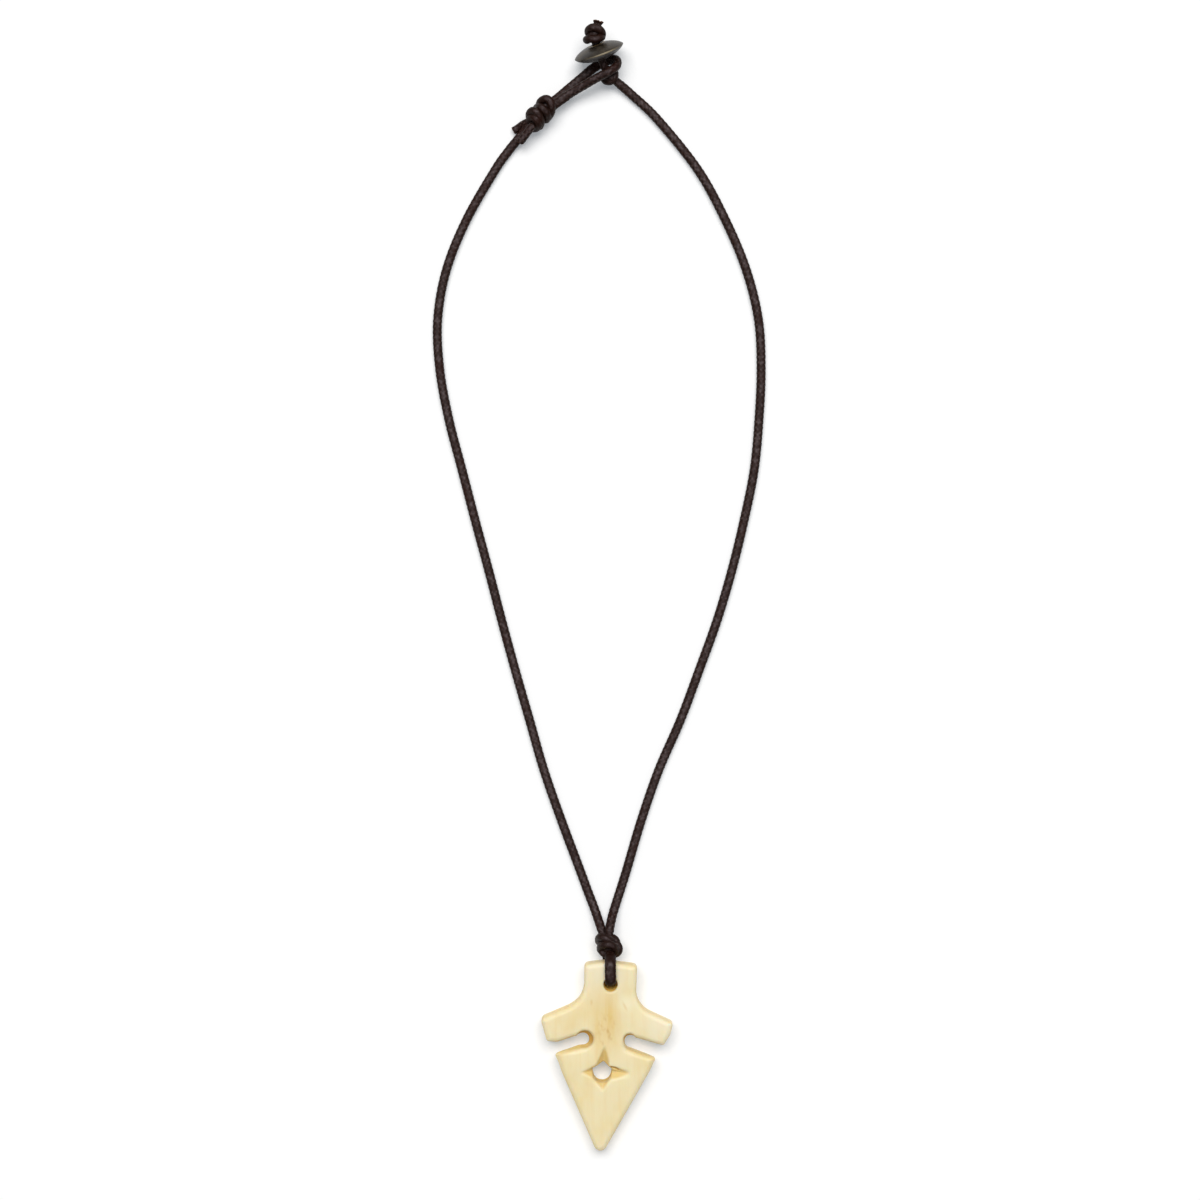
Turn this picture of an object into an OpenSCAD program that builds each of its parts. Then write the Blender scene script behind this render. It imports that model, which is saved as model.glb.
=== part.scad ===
// A necklace laid out flat: a carved bone pendant on a dark waxed cord with a loop and bead clasp.
// The surface under it is z = 0. The origin lies on it, in the middle between pendant tip and bead.

/* [Pendant] */
// Thickness of the bone plate
plate_t = 5; // [4.6:0.1:5.2]
// Radius of the plate's rounded front edge
front_round = 1.2; // [0.8:0.1:1.3]
// Radius of its rounded back edge
back_round = 0.8; // [0.4:0.1:1]
// Angle by which the cord under the tab lifts the plate
plate_tilt = 3.2; // [3.2:0.1:3.6]
// Diameter of the bore for the cord, at the front
bore_d = 3.2; // [3.2:0.1:3.6]
// Angle by which the bore leans, with its back end towards the end of the tab
bore_lean = 8; // [7:1:9]

/* [Cord] */
// Diameter of the waxed cord
cord_d = 2; // [1.8:0.1:2]
// Width of the cord where it is squeezed over the tab
bight_w = 2.4; // [2:0.1:2.4]
// Thickness of the cord there
bight_t = 1.9; // [1.6:0.1:1.9]
// Width of the cord where it is flattened in the clasp's loop
loop_w = 2.3; // [2:0.1:2.3]
// Diameter of the cord where it is pulled tight in the knots
knot_d = 1.9; // [1.7:0.1:1.9]

/* [Bead] */
// Diameter of the lens-shaped bead
bead_d = 11.7; // [11:0.1:11.7]
// Thickness of the bead in the middle
bead_t = 3.9; // [3.6:0.1:3.9]
// Diameter of the flat round each mouth of its hole
bead_flat_d = 3.6; // [3:0.1:4]
// Diameter of the hole through it
bead_hole_d = 2.4; // [2.2:0.1:2.8]
// Angle by which its axis leans up towards the stopper knot
bead_lean = 17; // [15:1:18]

/* [Hidden] */

bone = "#ecdcae";
cord_colour = "#33221f";
horn = "#5a554c";
$fn = 48;

// The plate lies in its own flat frame: x to the right, y up from its tip, z from back to front.
// Each corner has x, y and the radius of its fillet, in turn from the tip, leftwards round the back.
plate_corners = [
    [-1.7, -1.8, 1.5],
    [11.25, 21.1, 0.6],
    [4.15, 23.85, 1.2],
    [4.2, 26.1, 1.1],
    [6.9, 26.11, 1],
    [12.9, 24.35, 0.7],
    [14.5, 26.9, 3],
    [15.1, 29.5, 0.9],
    [6.5, 33.5, 5.5],
    [6.9, 42.8, 1.1],
    [-0.4, 43.8, 14],
    [-5.2, 43.15, 1.1],
    [-5.2, 34.9, 6],
    [-15.25, 30.6, 1.2],
    [-13.75, 25.4, 0.7],
    [-11.5, 25.15, 3],
    [-7.4, 26.54, 1],
    [-4.6, 26.75, 1.2],
    [-3.87, 24.57, 1.2],
    [-12, 22.1, 0.6]
];

// The pierced hole in the middle of the star: x, y and fillet radius of each corner
star_hole = [
    [-0.75, 20.7, 0.5],
    [-3.45, 19.1, 0.45],
    [-2.85, 15.9, 2],
    [0.45, 15.9, 2],
    [1.2, 18.85, 0.45]
];

// The star's four grooves: x and y of the point, half width and depth for each mm from the point
star_middle = [-1.1, 18.5];
star_grooves = [
    [-0.5, 24.4, 0.38, 0.62],
    [5.1, 18.6, 0.38, 0.52],
    [-1.05, 14, 0.66, 0.74],
    [-5.85, 18.5, 0.54, 0.7]
];

// The flared ends of the slots: x, y and radius at the back face, then x, y and radius at the front
slot_flares = [
    [-5.6, 25.25, 1.15, -5, 26.05, 2.1],
    [5.4, 24.75, 1.2, 5.1, 26, 1.4]
];

// Middle of the bore, half way through the plate, and how much it narrows for each mm towards the back
bore_at = [0.8, 38.85];
bore_taper = 0.08;

// The world y of the plate's own y = 0
tip_y = -127.16;

// Small overshoot of a cutting shape past the face that it opens, and past the side that it rounds
past = 1;
clear = 0.6;
// Widest turn of one facet of a fillet, and the smallest fillet left on an inset corner
arc_step = 15;
least_round = 0.06;

// Sides of a cord, and about how far apart its rings stand
cord_sides = 8;
ring_gap = 5.7;
flare_sides = 20;

// The bead stands on its rim. Its axis points at the stopper knot, left of straight up the page.
bead_turn = 20;
bead_axis = [-sin(bead_turn) * cos(bead_lean), cos(bead_turn) * cos(bead_lean), sin(bead_lean)];
bead_middle = [-1.85, 123.95, bead_d / 2 * cos(bead_lean)];

// The cord's routes, hand-placed. The first and last points are inside the knots.
left_route = [
    [-0.6, -79.6, 3.2], [-1.2, -77, 2.9], [-2, -74.6, 2.2], [-3, -71.8, 1.4], [-4.4, -68.2, 1],
    [-6.2, -63.3, 1], [-10.5, -51.8, 1], [-14.5, -40.3, 1], [-17.8, -28.8, 1], [-21.1, -17.3, 1],
    [-24.2, -5.9, 1], [-27.2, 5.6, 1], [-30.3, 17.1, 1], [-33.3, 28.6, 1], [-36.3, 40.1, 1],
    [-38.4, 51.6, 1], [-38.9, 63, 1], [-36.9, 74.5, 1], [-32.3, 86, 1], [-25.7, 97.5, 1],
    [-22.6, 101.9, 1], [-20.9, 104, 1.1], [-19.4, 105.8, 1.7], [-17.9, 107.6, 2.6], [-16.3, 109.2, 3.1]
];
right_route = [
    [0.6, -80, 3.6], [0.5, -77.4, 4.1], [0.9, -75, 3.2], [1.6, -72.4, 1.8], [2.9, -68.4, 1],
    [4.5, -63.3, 1], [7.9, -51.8, 1], [11.9, -40.3, 1], [16.9, -28.8, 1], [21.2, -17.3, 1],
    [25.3, -5.9, 1], [28.7, 5.6, 1], [31.5, 17.1, 1], [33.8, 28.6, 1], [34.9, 40.1, 1],
    [35.4, 51.6, 1], [34.8, 63, 1], [32, 74.5, 1], [27.2, 86, 1], [20.9, 97.5, 1],
    [11.7, 109, 1.05], [5.6, 114.8, 1.25], [2.6, 117.3, 2], [0.9, 118.7, 2.6]
];
loop_route = [
    [-14.2, 111.4, 2.4], [-12.6, 112.8, 2.1], [-11, 114.1, 1.8], [-8.3, 116.5, 1.2], [-5.6, 118.8, 1],
    [-3.4, 120.7, 1], [-1, 122.2, 1.2], [1.2, 122.7, 2.1], [2.3, 122.1, 3.5], [2.1, 120.7, 4.9],
    [0.2, 119.2, 5.9], [-2.2, 118.05, 5.3], [-5.4, 116.4, 4.1], [-8.9, 114.4, 3.4], [-11.3, 112.7, 3.6],
    [-12.8, 111.5, 3.7], [-14.2, 110.4, 3.6]
];
// In the plate's own frame, from the knot over the tab, through the bore and back to the knot
bight_route = [
    [0.75, 47, 1.2], [0.75, 46, 2.4], [0.75, 45.1, 3.9], [0.75, 44.35, 5.3], [0.75, 43.2, 6.2],
    [0.75, 41.8, 6.2], [0.8, 40.5, 6.15], [0.8, 39.4, 5.8], [0.8, 38.85, 4.7], [0.8, 38.8, 2.5],
    [0.8, 38.9, 0.4], [0.78, 39.3, -0.8], [0.7, 40.4, -1.12], [0.5, 42.2, -1.15], [0.2, 44.2, -1.1],
    [0.1, 46, -0.6], [0.1, 47.4, 0.2]
];
neck_route = [
    [0.9, 118.4, 2.6], [0.2, 119.6, 3.4], [-0.6, 120.7, 4.4],
    bead_point(-0.55), bead_point(0), bead_point(0.55),
    bead_point(0.95), [-3.3, 128.4, 7.1]
];

// The wraps that show on each knot, as short routes
pendant_knot_wraps = [
    [[-1.8, -79.8, 2.2], [-1.85, -78.8, 3.8], [-1.35, -78.2, 5.6], [-0.4, -78.4, 6.3], [0.9, -79.1, 5.6],
     [1.8, -80.2, 4.2]],
    [[1, -78.4, 4.1], [1.9, -79, 4.8], [2.2, -80, 4.3], [2, -81.2, 3]],
    [[-1.4, -81.6, 2.6], [-1.4, -80.6, 4.6], [-0.6, -79.9, 6.3], [0.7, -79.8, 6.9], [1.7, -80.5, 6.2],
     [2, -81.6, 4.8], [1.5, -82.2, 3.4]],
    [[1.6, -79.8, 5], [2.4, -80.1, 5.2], [2.7, -81.1, 4.8], [2.3, -82, 4], [1.4, -82.4, 3.2]],
    [[-1.35, -80.2, 2.8], [-1.3, -81.3, 3.8], [-0.5, -82.1, 4.3], [0.8, -82.3, 3.9]],
    [[-1.2, -79.3, 2], [0.2, -80, 1.3], [1.6, -81.1, 1.6]]
];
loop_knot_wraps = [
    [[-15.5, 112.3, 2.5], [-15, 112.9, 4.2], [-13.9, 113.2, 5.3], [-13, 112.6, 5.6],
     [-12.7, 111.4, 5.2], [-12.8, 110.3, 4.2], [-13.6, 109.3, 3], [-14.7, 108.6, 2.2]],
    [[-16.3, 111.2, 2.5], [-15.7, 111.6, 4], [-15, 111.1, 5.6], [-13.9, 110.2, 5.4],
     [-13.6, 109.3, 4], [-14.2, 108.6, 2.5]],
    [[-17.7, 109.2, 2.2], [-17.7, 110, 3.8], [-17, 110.5, 5], [-16, 110, 5.8],
     [-15.3, 108.8, 5.2], [-15.2, 107.8, 3.8], [-15.7, 107, 2.4]],
    [[-17.8, 108.2, 2.8], [-17.3, 109, 4.4], [-16.2, 108.6, 5.4], [-15.7, 107.5, 4.5],
     [-16.2, 106.9, 3.1], [-17.2, 106.9, 2]]
];
loop_knot_tails = [
    [[-18, 108.3, 2.8], [-19.3, 107.8, 1.8], [-20.4, 107.1, 1.1], [-21.5, 106.4, 1]],
    [[-16.7, 107.5, 4.8], [-17.8, 106.2, 4.5], [-19, 104.7, 3.9], [-19.9, 103.6, 3.3]]
];
stopper_knot_wraps = [
    [[-4.1, 127.8, 6], [-4.2, 128.5, 7.5], [-3.3, 128.9, 8.8], [-2, 128.6, 8.9], [-1.2, 127.9, 8],
     [-1.2, 127.3, 6.6]],
    [[-4.4, 126.6, 5.6], [-4.6, 126.4, 7.2], [-3.9, 126.4, 8.4], [-2.6, 126.3, 8.9], [-1.5, 126.7, 8.2],
     [-1.2, 127.2, 6.8]],
    [[-4.4, 127.5, 5.4], [-3, 127.9, 4.8], [-1.4, 127.9, 5.4]],
    [[-2.5, 128.1, 7.2], [-2.3, 129.3, 7.8], [-2.1, 130.4, 8]]
];
under_knot_wraps = [
    [[-0.7, 118.5, 1.6], [-0.2, 117.8, 2.4], [0.8, 117.6, 3.1], [1.6, 118.4, 3.2], [1.7, 119.6, 2.4],
     [1.1, 120.3, 1.4]],
    [[-0.5, 119.6, 2], [0, 118.8, 3.2], [0.9, 118.2, 3.5], [1.6, 117.9, 2.6]]
];

function bead_point(s) = bead_middle + s * bead_t * bead_axis;
function unit(v) = v / norm(v);
function left_of(v) = [-v[1], v[0]];
function turned(v, a) = [v[0] * cos(a) - v[1] * sin(a), v[0] * sin(a) + v[1] * cos(a)];

// The direction of the edge that leaves corner i of a closed list
function edge(corners, i) =
    let (a = corners[(i + len(corners)) % len(corners)], b = corners[(i + 1) % len(corners)])
    unit([b[0] - a[0], b[1] - a[1]]);

// The filleted outline of counter-clockwise corners, moved inwards by d
function outline(corners, d) = [
    for (i = [0:len(corners) - 1])
        let (
            before = edge(corners, i - 1),
            after = edge(corners, i),
            turn = atan2(before[0] * after[1] - before[1] * after[0], before * after),
            inward = (left_of(before) + left_of(after)) / (1 + before * after),
            r = turn > 0 ? max(corners[i][2] - d, least_round) : corners[i][2] + d,
            middle = [corners[i][0], corners[i][1]] + (d + sign(turn) * r) * inward,
            start = -sign(turn) * r * left_of(before),
            steps = ceil(abs(turn) / arc_step)
        )
        for (k = [0:steps]) middle + turned(start, turn * k / steps)
];

// Inset and height of each step of the rounding along the plate's back edge and its front edge
back_steps = [for (a = [0:30:90]) [back_round * (1 - sin(a)), back_round * (1 - cos(a))]];
front_steps = [for (a = [0:30:90]) [front_round * (1 - cos(a)), plate_t + front_round * (sin(a) - 1)]];

// The tilted plate is let down until its lowest point touches the surface
plate_low = min([
    for (s = back_steps)
        for (p = outline(plate_corners, s[0]))
            p[1] * sin(plate_tilt) + s[1] * cos(plate_tilt)
]);

// From the plate's own frame to where it lies
function laid(p) = [
    p[0],
    tip_y + p[1] * cos(plate_tilt) - p[2] * sin(plate_tilt),
    p[1] * sin(plate_tilt) + p[2] * cos(plate_tilt) - plate_low
];

// A point between b and c on the smooth curve through four points
function between(a, b, c, d, t) =
    (2 * b + (c - a) * t + (2 * a - 5 * b + 4 * c - d) * pow(t, 2) + (3 * b - a - 3 * c + d) * pow(t, 3)) / 2;

function steps_in(route, i) = max(1, round(norm(route[i + 1] - route[i]) / ring_gap));

function curve(route) = concat(
    [
        for (i = [0:len(route) - 2])
            for (k = [0:steps_in(route, i) - 1])
                between(
                    route[max(i - 1, 0)], route[i], route[i + 1], route[min(i + 2, len(route) - 1)],
                    k / steps_in(route, i)
                )
    ],
    [route[len(route) - 1]]
);

// The number of the ring that stands on point i of a route
function ring_at(route, i) = i == 0 ? 0 : ring_at(route, i - 1) + steps_in(route, i - 1);

function heading(points, i) = unit(points[min(i + 1, len(points) - 1)] - points[max(i - 1, 0)]);

// The sideways direction of each ring, carried along the curve without twisting
function sideways(points, i, side) =
    i == len(points) ? [] :
    let (ahead = heading(points, i), s = unit(side - (side * ahead) * ahead))
    concat([s], sideways(points, i + 1, s));

// The rings of a cord of width w and thickness t along a route
function cord_rings(route, w = cord_d, t = cord_d, side = undef) =
    let (
        points = curve(route),
        first = heading(points, 0),
        guess = is_undef(side) ? (abs(first[2]) > 0.9 ? [1, 0, 0] : cross(first, [0, 0, 1])) : side,
        sides = sideways(points, 0, unit(guess))
    )
    [
        for (i = [0:len(points) - 1])
            let (up = cross(heading(points, i), sides[i]))
            [
                for (k = [0:cord_sides - 1])
                    points[i] + w / 2 * cos(360 * k / cord_sides) * sides[i]
                    + t / 2 * sin(360 * k / cord_sides) * up
            ]
    ];

function part_of(rings, from, to) = [for (i = [from:to]) rings[i]];

left_rings = cord_rings(left_route);
left_cuts = [ring_at(left_route, 2), ring_at(left_route, 21), len(left_rings) - 1];
right_rings = cord_rings(right_route);
right_cuts = [ring_at(right_route, 2), ring_at(right_route, 21), len(right_rings) - 1];
loop_rings = cord_rings(loop_route, loop_w);
loop_cuts = [ring_at(loop_route, 2), ring_at(loop_route, 14), len(loop_rings) - 1];
bight_rings = cord_rings([for (p = bight_route) laid(p)], bight_w, bight_t, [-1, 0, 0]);
bight_cuts = [3, 14, len(bight_rings) - 1];
neck_rings = cord_rings(neck_route);
neck_cuts = [2, 5, len(neck_rings) - 1];

// A closed solid through a row of rings with equally many points
module through(rings) {
    n = len(rings);
    m = len(rings[0]);
    polyhedron(
        points = [for (r = rings) each r],
        faces = concat(
            [[for (k = [0:m - 1]) k]],
            [
                for (i = [0:n - 2])
                    for (k = [0:m - 1])
                        each [
                            [i * m + k, (i + 1) * m + k, (i + 1) * m + (k + 1) % m],
                            [i * m + k, (i + 1) * m + (k + 1) % m, i * m + (k + 1) % m]
                        ]
            ],
            [[for (k = [m - 1:-1:0]) (n - 1) * m + k]]
        )
    );
}

// What the rounding takes off one edge of the plate: a closed band round the whole outline
module edge_cut(steps) {
    last = steps[len(steps) - 1];
    far = last[1] > plate_t / 2 ? plate_t + past : -past;
    section = last[0] > 0
        ? concat(steps, [[last[0], far], [-clear, far], [-clear, steps[0][1]]])
        : concat(steps, [[-clear, last[1]], [-clear, far], [steps[0][0], far]]);
    rings = [for (s = section) [for (p = outline(plate_corners, s[0])) [p[0], p[1], s[1]]]];
    n = len(rings);
    m = len(rings[0]);
    polyhedron(
        points = [for (r = rings) each r],
        faces = [
            for (i = [0:n - 1])
                for (k = [0:m - 1])
                    [i * m + k, i * m + (k + 1) % m, (i + 1) % n * m + (k + 1) % m, (i + 1) % n * m + k]
        ]
    );
}

// One groove of the star: a wedge that deepens from its point to the star's middle
module groove(g) {
    along = [star_middle[0] - g[0], star_middle[1] - g[1]];
    deep = g[3] * norm(along);
    across = g[2] * left_of(along);
    low = [star_middle[0], star_middle[1], plate_t - deep];
    tops = [
        [g[0], g[1], plate_t],
        [star_middle[0] + across[0], star_middle[1] + across[1], plate_t],
        [star_middle[0] - across[0], star_middle[1] - across[1], plate_t]
    ];
    polyhedron(
        points = concat([for (p = tops) low + (p - low) * (deep + past) / deep], [low]),
        faces = [[0, 1, 2], [0, 2, 3], [2, 1, 3], [1, 0, 3]]
    );
}

// The flared round end of a slot: from past the back face to past the front face
module slot_flare(f) {
    extra = past / plate_t;
    through([
        for (s = [-extra, 1 + extra])
            let (r = f[2] + s * (f[5] - f[2]))
            [
                for (k = [0:flare_sides - 1])
                    let (a = 360 * k / flare_sides)
                    [f[0] + s * (f[3] - f[0]) + r * cos(a), f[1] + s * (f[4] - f[1]) + r * sin(a), s * plate_t]
            ]
    ]);
}

module pendant() {
    color(bone)
        translate([0, tip_y, -plate_low])
            rotate([plate_tilt, 0, 0])
                difference() {
                    linear_extrude(plate_t) polygon(outline(plate_corners, 0));
                    edge_cut(back_steps);
                    edge_cut(front_steps);
                    translate([bore_at[0], bore_at[1], plate_t / 2])
                        rotate([bore_lean, 0, 0])
                            cylinder(
                                h = plate_t + 2 * past,
                                d1 = bore_d - bore_taper * (plate_t + past),
                                d2 = bore_d + bore_taper * past,
                                center = true
                            );
                    translate([0, 0, -past])
                        linear_extrude(plate_t + 2 * past)
                            polygon(outline(star_hole, 0));
                    for (g = star_grooves) groove(g);
                    for (f = slot_flares) slot_flare(f);
                }
}

module wraps(routes) {
    for (route = routes) through(cord_rings(route, knot_d, knot_d));
}

// The tight inside of a knot, which fills the space between its wraps
module core(a, b, r) {
    hull() {
        translate(a) sphere(r, $fn = 16);
        translate(b) sphere(r, $fn = 16);
    }
}

module pendant_bight() {
    color(cord_colour) through(part_of(bight_rings, bight_cuts[0], bight_cuts[1]));
}

module pendant_knot() {
    color(cord_colour)
        union() {
            core([-0.4, -79.9, 4], [0.9, -81, 4], 1.9);
            wraps(pendant_knot_wraps);
            through(part_of(left_rings, 0, left_cuts[0]));
            through(part_of(right_rings, 0, right_cuts[0]));
            through(part_of(bight_rings, 0, bight_cuts[0]));
            through(part_of(bight_rings, bight_cuts[1], bight_cuts[2]));
        }
}

module cord_left() {
    color(cord_colour) through(part_of(left_rings, left_cuts[0], left_cuts[1]));
}

module cord_right() {
    color(cord_colour) through(part_of(right_rings, right_cuts[0], right_cuts[1]));
}

module loop_knot() {
    color(cord_colour)
        union() {
            core([-16, 108.7, 3.2], [-14, 111.3, 3.2], 1.9);
            wraps(loop_knot_wraps);
            wraps(loop_knot_tails);
            through(part_of(left_rings, left_cuts[1], left_cuts[2]));
            through(part_of(loop_rings, 0, loop_cuts[0]));
            through(part_of(loop_rings, loop_cuts[1], loop_cuts[2]));
        }
}

module clasp_loop() {
    color(cord_colour) through(part_of(loop_rings, loop_cuts[0], loop_cuts[1]));
}

module under_knot() {
    color(cord_colour)
        union() {
            core([0.7, 118.5, 2.3], [1, 118.9, 2.2], 1.6);
            wraps(under_knot_wraps);
            through(part_of(right_rings, right_cuts[1], right_cuts[2]));
            through(part_of(neck_rings, 0, neck_cuts[0]));
        }
}

module toggle_neck() {
    color(cord_colour) through(part_of(neck_rings, neck_cuts[0], neck_cuts[1]));
}

// Half thickness of the bead at radius r, which thins towards a pinched rim
function bead_half(r) = bead_t / 2 * pow(1 - pow(2 * r / bead_d, 2), 0.7);

module bead() {
    flat = bead_flat_d / 2;
    slope = [for (a = [0:8:80]) flat + (bead_d / 2 - flat) * sin(a)];
    color(horn)
        translate(bead_middle)
            rotate([0, 90 - bead_lean, 90 + bead_turn])
                rotate_extrude()
                    polygon(concat(
                        [[bead_hole_d / 2, bead_half(flat)]],
                        [for (r = slope) [r, bead_half(r)]],
                        [[bead_d / 2, 0]],
                        [for (i = [len(slope) - 1:-1:0]) [slope[i], -bead_half(slope[i])]],
                        [[bead_hole_d / 2, -bead_half(flat)]]
                    ));
}

module stopper_knot() {
    color(cord_colour)
        union() {
            core([-3, 127.5, 6.9], [-2.8, 127.7, 7], 1.7);
            wraps(stopper_knot_wraps);
            through(part_of(neck_rings, neck_cuts[1], neck_cuts[2]));
        }
}

pendant();
pendant_bight();
pendant_knot();
cord_left();
cord_right();
loop_knot();
clasp_loop();
under_knot();
toggle_neck();
bead();
stopper_knot();
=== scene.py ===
# %% [markdown]
# # A carved bone pendant on a dark waxed cord
#
# The real object is a necklace laid out flat. A flat bone plate hangs on one long waxed cotton cord, and the
# cord closes with a loop that goes over a lens-shaped bead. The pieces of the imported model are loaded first.
# They are the fixed frame, so everything made here is worked out in the same millimetres.

# %% Loading the frame
from itertools import product

import bpy
import numpy as np
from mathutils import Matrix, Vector


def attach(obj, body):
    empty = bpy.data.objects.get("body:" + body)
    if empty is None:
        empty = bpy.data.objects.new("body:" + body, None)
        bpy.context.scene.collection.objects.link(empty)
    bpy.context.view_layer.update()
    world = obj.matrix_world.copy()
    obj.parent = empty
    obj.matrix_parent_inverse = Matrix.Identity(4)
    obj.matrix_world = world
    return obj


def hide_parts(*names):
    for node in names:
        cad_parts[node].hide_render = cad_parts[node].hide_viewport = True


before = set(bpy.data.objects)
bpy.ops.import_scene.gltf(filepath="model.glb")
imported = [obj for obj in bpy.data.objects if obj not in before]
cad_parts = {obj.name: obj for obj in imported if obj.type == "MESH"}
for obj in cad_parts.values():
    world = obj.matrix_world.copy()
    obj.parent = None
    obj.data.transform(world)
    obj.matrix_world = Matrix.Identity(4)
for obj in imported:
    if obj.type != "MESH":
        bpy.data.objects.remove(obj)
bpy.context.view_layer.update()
MM = 0.001
print("pieces in the frame:", ", ".join(sorted(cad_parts)))

# %% [markdown]
# ## The camera
#
# The necklace was seen from straight above, so the camera looks down its own minus z with the page's top at
# plus y. A long lens at 0.77 m takes in the whole necklace, and both of its ends are seen with only a little
# slant.

# %% Camera
lens = bpy.data.cameras.new("camera")
lens.lens = 100
lens.sensor_width = 36
lens.clip_start = 0.01
lens.clip_end = 10
camera = bpy.data.objects.new("camera", lens)
camera.location = (-1.61 * MM, -1.265 * MM, 766.67 * MM)
bpy.context.scene.collection.objects.link(camera)
bpy.context.scene.camera = camera

# %% [markdown]
# ## The lines that the cord follows
#
# A cord is a profile carried along a path. The path is a smooth curve through a few given points, the same
# ones that the part's source has. A Catmull-Rom curve was chosen because it goes through every point it is
# given.

# %% Curves and the directions along them
def smooth_curve(route, step):
    """Points about `step` mm apart on the smooth curve through a route, and how far along it each one is.

    Between points b and c, whose neighbours are a and d, the curve is half of
    2b + (c - a)t + (2a - 5b + 4c - d)t^2 + (3b - a - 3c + d)t^3, for t from 0 to 1.
    """
    p = np.asarray(route, float)
    n = len(p)
    a, b, c, d = (p[np.clip(np.arange(n - 1) + k, 0, n - 1)][:, None] for k in (-1, 0, 1, 2))
    t = np.linspace(0, 1, 60, endpoint=False)[None, :, None]
    dense = (2 * b + (c - a) * t + (2 * a - 5 * b + 4 * c - d) * t**2 + (3 * b - a - 3 * c + d) * t**3) / 2
    dense = np.vstack([dense.reshape(-1, 3), p[-1:]])
    along = np.r_[0, np.cumsum(np.linalg.norm(np.diff(dense, axis=0), axis=1))]
    places = np.linspace(0, along[-1], max(4, round(along[-1] / step) + 1))
    return np.column_stack([np.interp(places, along, dense[:, k]) for k in range(3)]), places


def directions(points, side=None):
    """The sideways and upward direction at each point of a curve.

    The sideways one is carried from point to point: what it shares with the heading is taken off, so it never
    twists.
    """
    ahead = np.gradient(points, axis=0)
    ahead /= np.linalg.norm(ahead, axis=1)[:, None]
    if side is None:
        side = (1, 0, 0) if abs(ahead[0, 2]) > 0.9 else np.cross(ahead[0], (0, 0, 1))
    sides = np.empty_like(ahead)
    for i, heading in enumerate(ahead):
        side = side - np.dot(side, heading) * heading
        side = side / np.linalg.norm(side)
        sides[i] = side
    return sides, np.cross(ahead, sides)


# %% [markdown]
# ## The braid of the cord
#
# The cord is a fine round braid soaked in wax. Its surface is two families of strands that wind opposite ways
# and go over and under each other. That relief is put into the mesh as a height over the tube, a function of
# the angle round it and the distance along it, so it is there from every side.

# %% The braid's height
BRAID_STRANDS = 6
BRAID_PITCH = 1.25


def braid(angle, along):
    """Height of the braid from 0 to 1.

    One family is numbered by u = strands * angle / full turn + along / pitch, and the other by v, with a
    minus. Across a strand the height is a parabola. Along it, a sine takes it over its neighbours and under
    them in turn. The surface is the higher of the two families.
    """
    turn = BRAID_STRANDS * angle / (2 * np.pi)
    u = turn + along / BRAID_PITCH
    v = turn - along / BRAID_PITCH
    first = (1 - (2 * (u % 1) - 1) ** 2) * (0.62 + 0.38 * np.sin(np.pi * (v + np.floor(u))))
    second = (1 - (2 * (v % 1) - 1) ** 2) * (0.62 - 0.38 * np.sin(np.pi * (u + np.floor(v))))
    return np.maximum(first, second)


# %% [markdown]
# ## From a grid to a mesh
#
# Every cord, knot and bead here is a grid of points, rows along it and columns round it. One helper makes the
# quads between the rows. For a tube another adds a fan to one point at each end. Several tubes go into one
# mesh, because a knot is one piece with many turns.

# %% Tubes and meshes
NO_TRIANGLES = np.empty((0, 3), int)


def grid_quads(n, m, closed=False):
    """Quads of n rows of m points, round each row, and from the last row to the first where it is closed."""
    row, col = np.meshgrid(np.arange(n if closed else n - 1), np.arange(m), indexing="ij")
    here, beside = row * m + col, row * m + (col + 1) % m
    next_row = (row + 1) % n * m
    return np.stack([here, beside, next_row + (col + 1) % m, next_row + col], -1).reshape(-1, 4)


def closed_tube(grid):
    """Vertices and faces of a grid of rows, with the first and last row drawn together to one point each."""
    n, m = grid.shape[0] - 2, grid.shape[1]
    vertices = np.vstack([grid[1:-1].reshape(-1, 3), grid[0].mean(0), grid[-1].mean(0)])
    k = np.arange(m)
    first = np.stack([np.full(m, n * m), (k + 1) % m, k], -1)
    last = np.stack([np.full(m, n * m + 1), (n - 1) * m + k, (n - 1) * m + (k + 1) % m], -1)
    return vertices, grid_quads(n, m), np.vstack([first, last])


def new_piece(name, vertices, quads, triangles, values):
    """A smooth mesh object in metres from points in millimetres, with one named number for each vertex."""
    mesh = bpy.data.meshes.new(name)
    faces = quads.tolist() + triangles.tolist()
    mesh.from_pydata((vertices * MM).tolist(), [], faces)
    mesh.polygons.foreach_set("use_smooth", np.ones(len(faces), bool))
    for key, value in values.items():
        mesh.attributes.new(key, "FLOAT", "POINT").data.foreach_set("value", value.astype(np.float32))
    mesh.update()
    piece = bpy.data.objects.new(name, mesh)
    bpy.context.scene.collection.objects.link(piece)
    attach(piece, "root")
    print(f"{name}: {len(quads) * 2 + len(triangles)} triangles")
    return piece


def joined(parts):
    """One set of vertices, quads, triangles and values from several."""
    starts = np.cumsum([0] + [len(p[0]) for p in parts[:-1]])
    keys = parts[0][3].keys()
    return (
        np.vstack([p[0] for p in parts]),
        np.vstack([p[1] + s for p, s in zip(parts, starts)]),
        np.vstack([p[2] + s for p, s in zip(parts, starts)]),
        {k: np.concatenate([p[3][k] for p in parts]) for k in keys},
    )


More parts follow.
